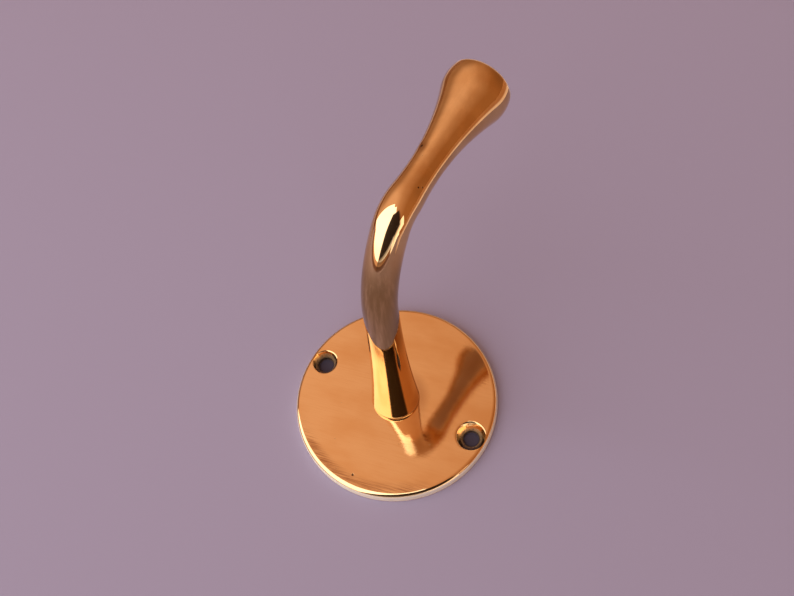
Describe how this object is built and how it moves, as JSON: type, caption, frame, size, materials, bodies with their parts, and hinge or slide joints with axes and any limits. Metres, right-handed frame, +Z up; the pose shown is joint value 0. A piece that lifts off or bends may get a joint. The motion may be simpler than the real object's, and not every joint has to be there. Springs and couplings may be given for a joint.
{
  "type": "wall hook",
  "caption": "Polished cast brass wall hook: a round plate with countersunk screw holes and a round arm that stands out, bends upwards and flares to a trumpet tip.",
  "frame": {"origin": "centre of the plate's back face, on the wall", "axes": "+Y into the wall, square to the plate's back face; -Y out into the room; +Z up the wall; X along the row of screw holes"},
  "size_m": [0.065, 0.0961, 0.0951],
  "materials": {
    "brass": "polished"
  },
  "bodies": {
    "root": {"hook": "brass"}
  },
  "joints": []
}
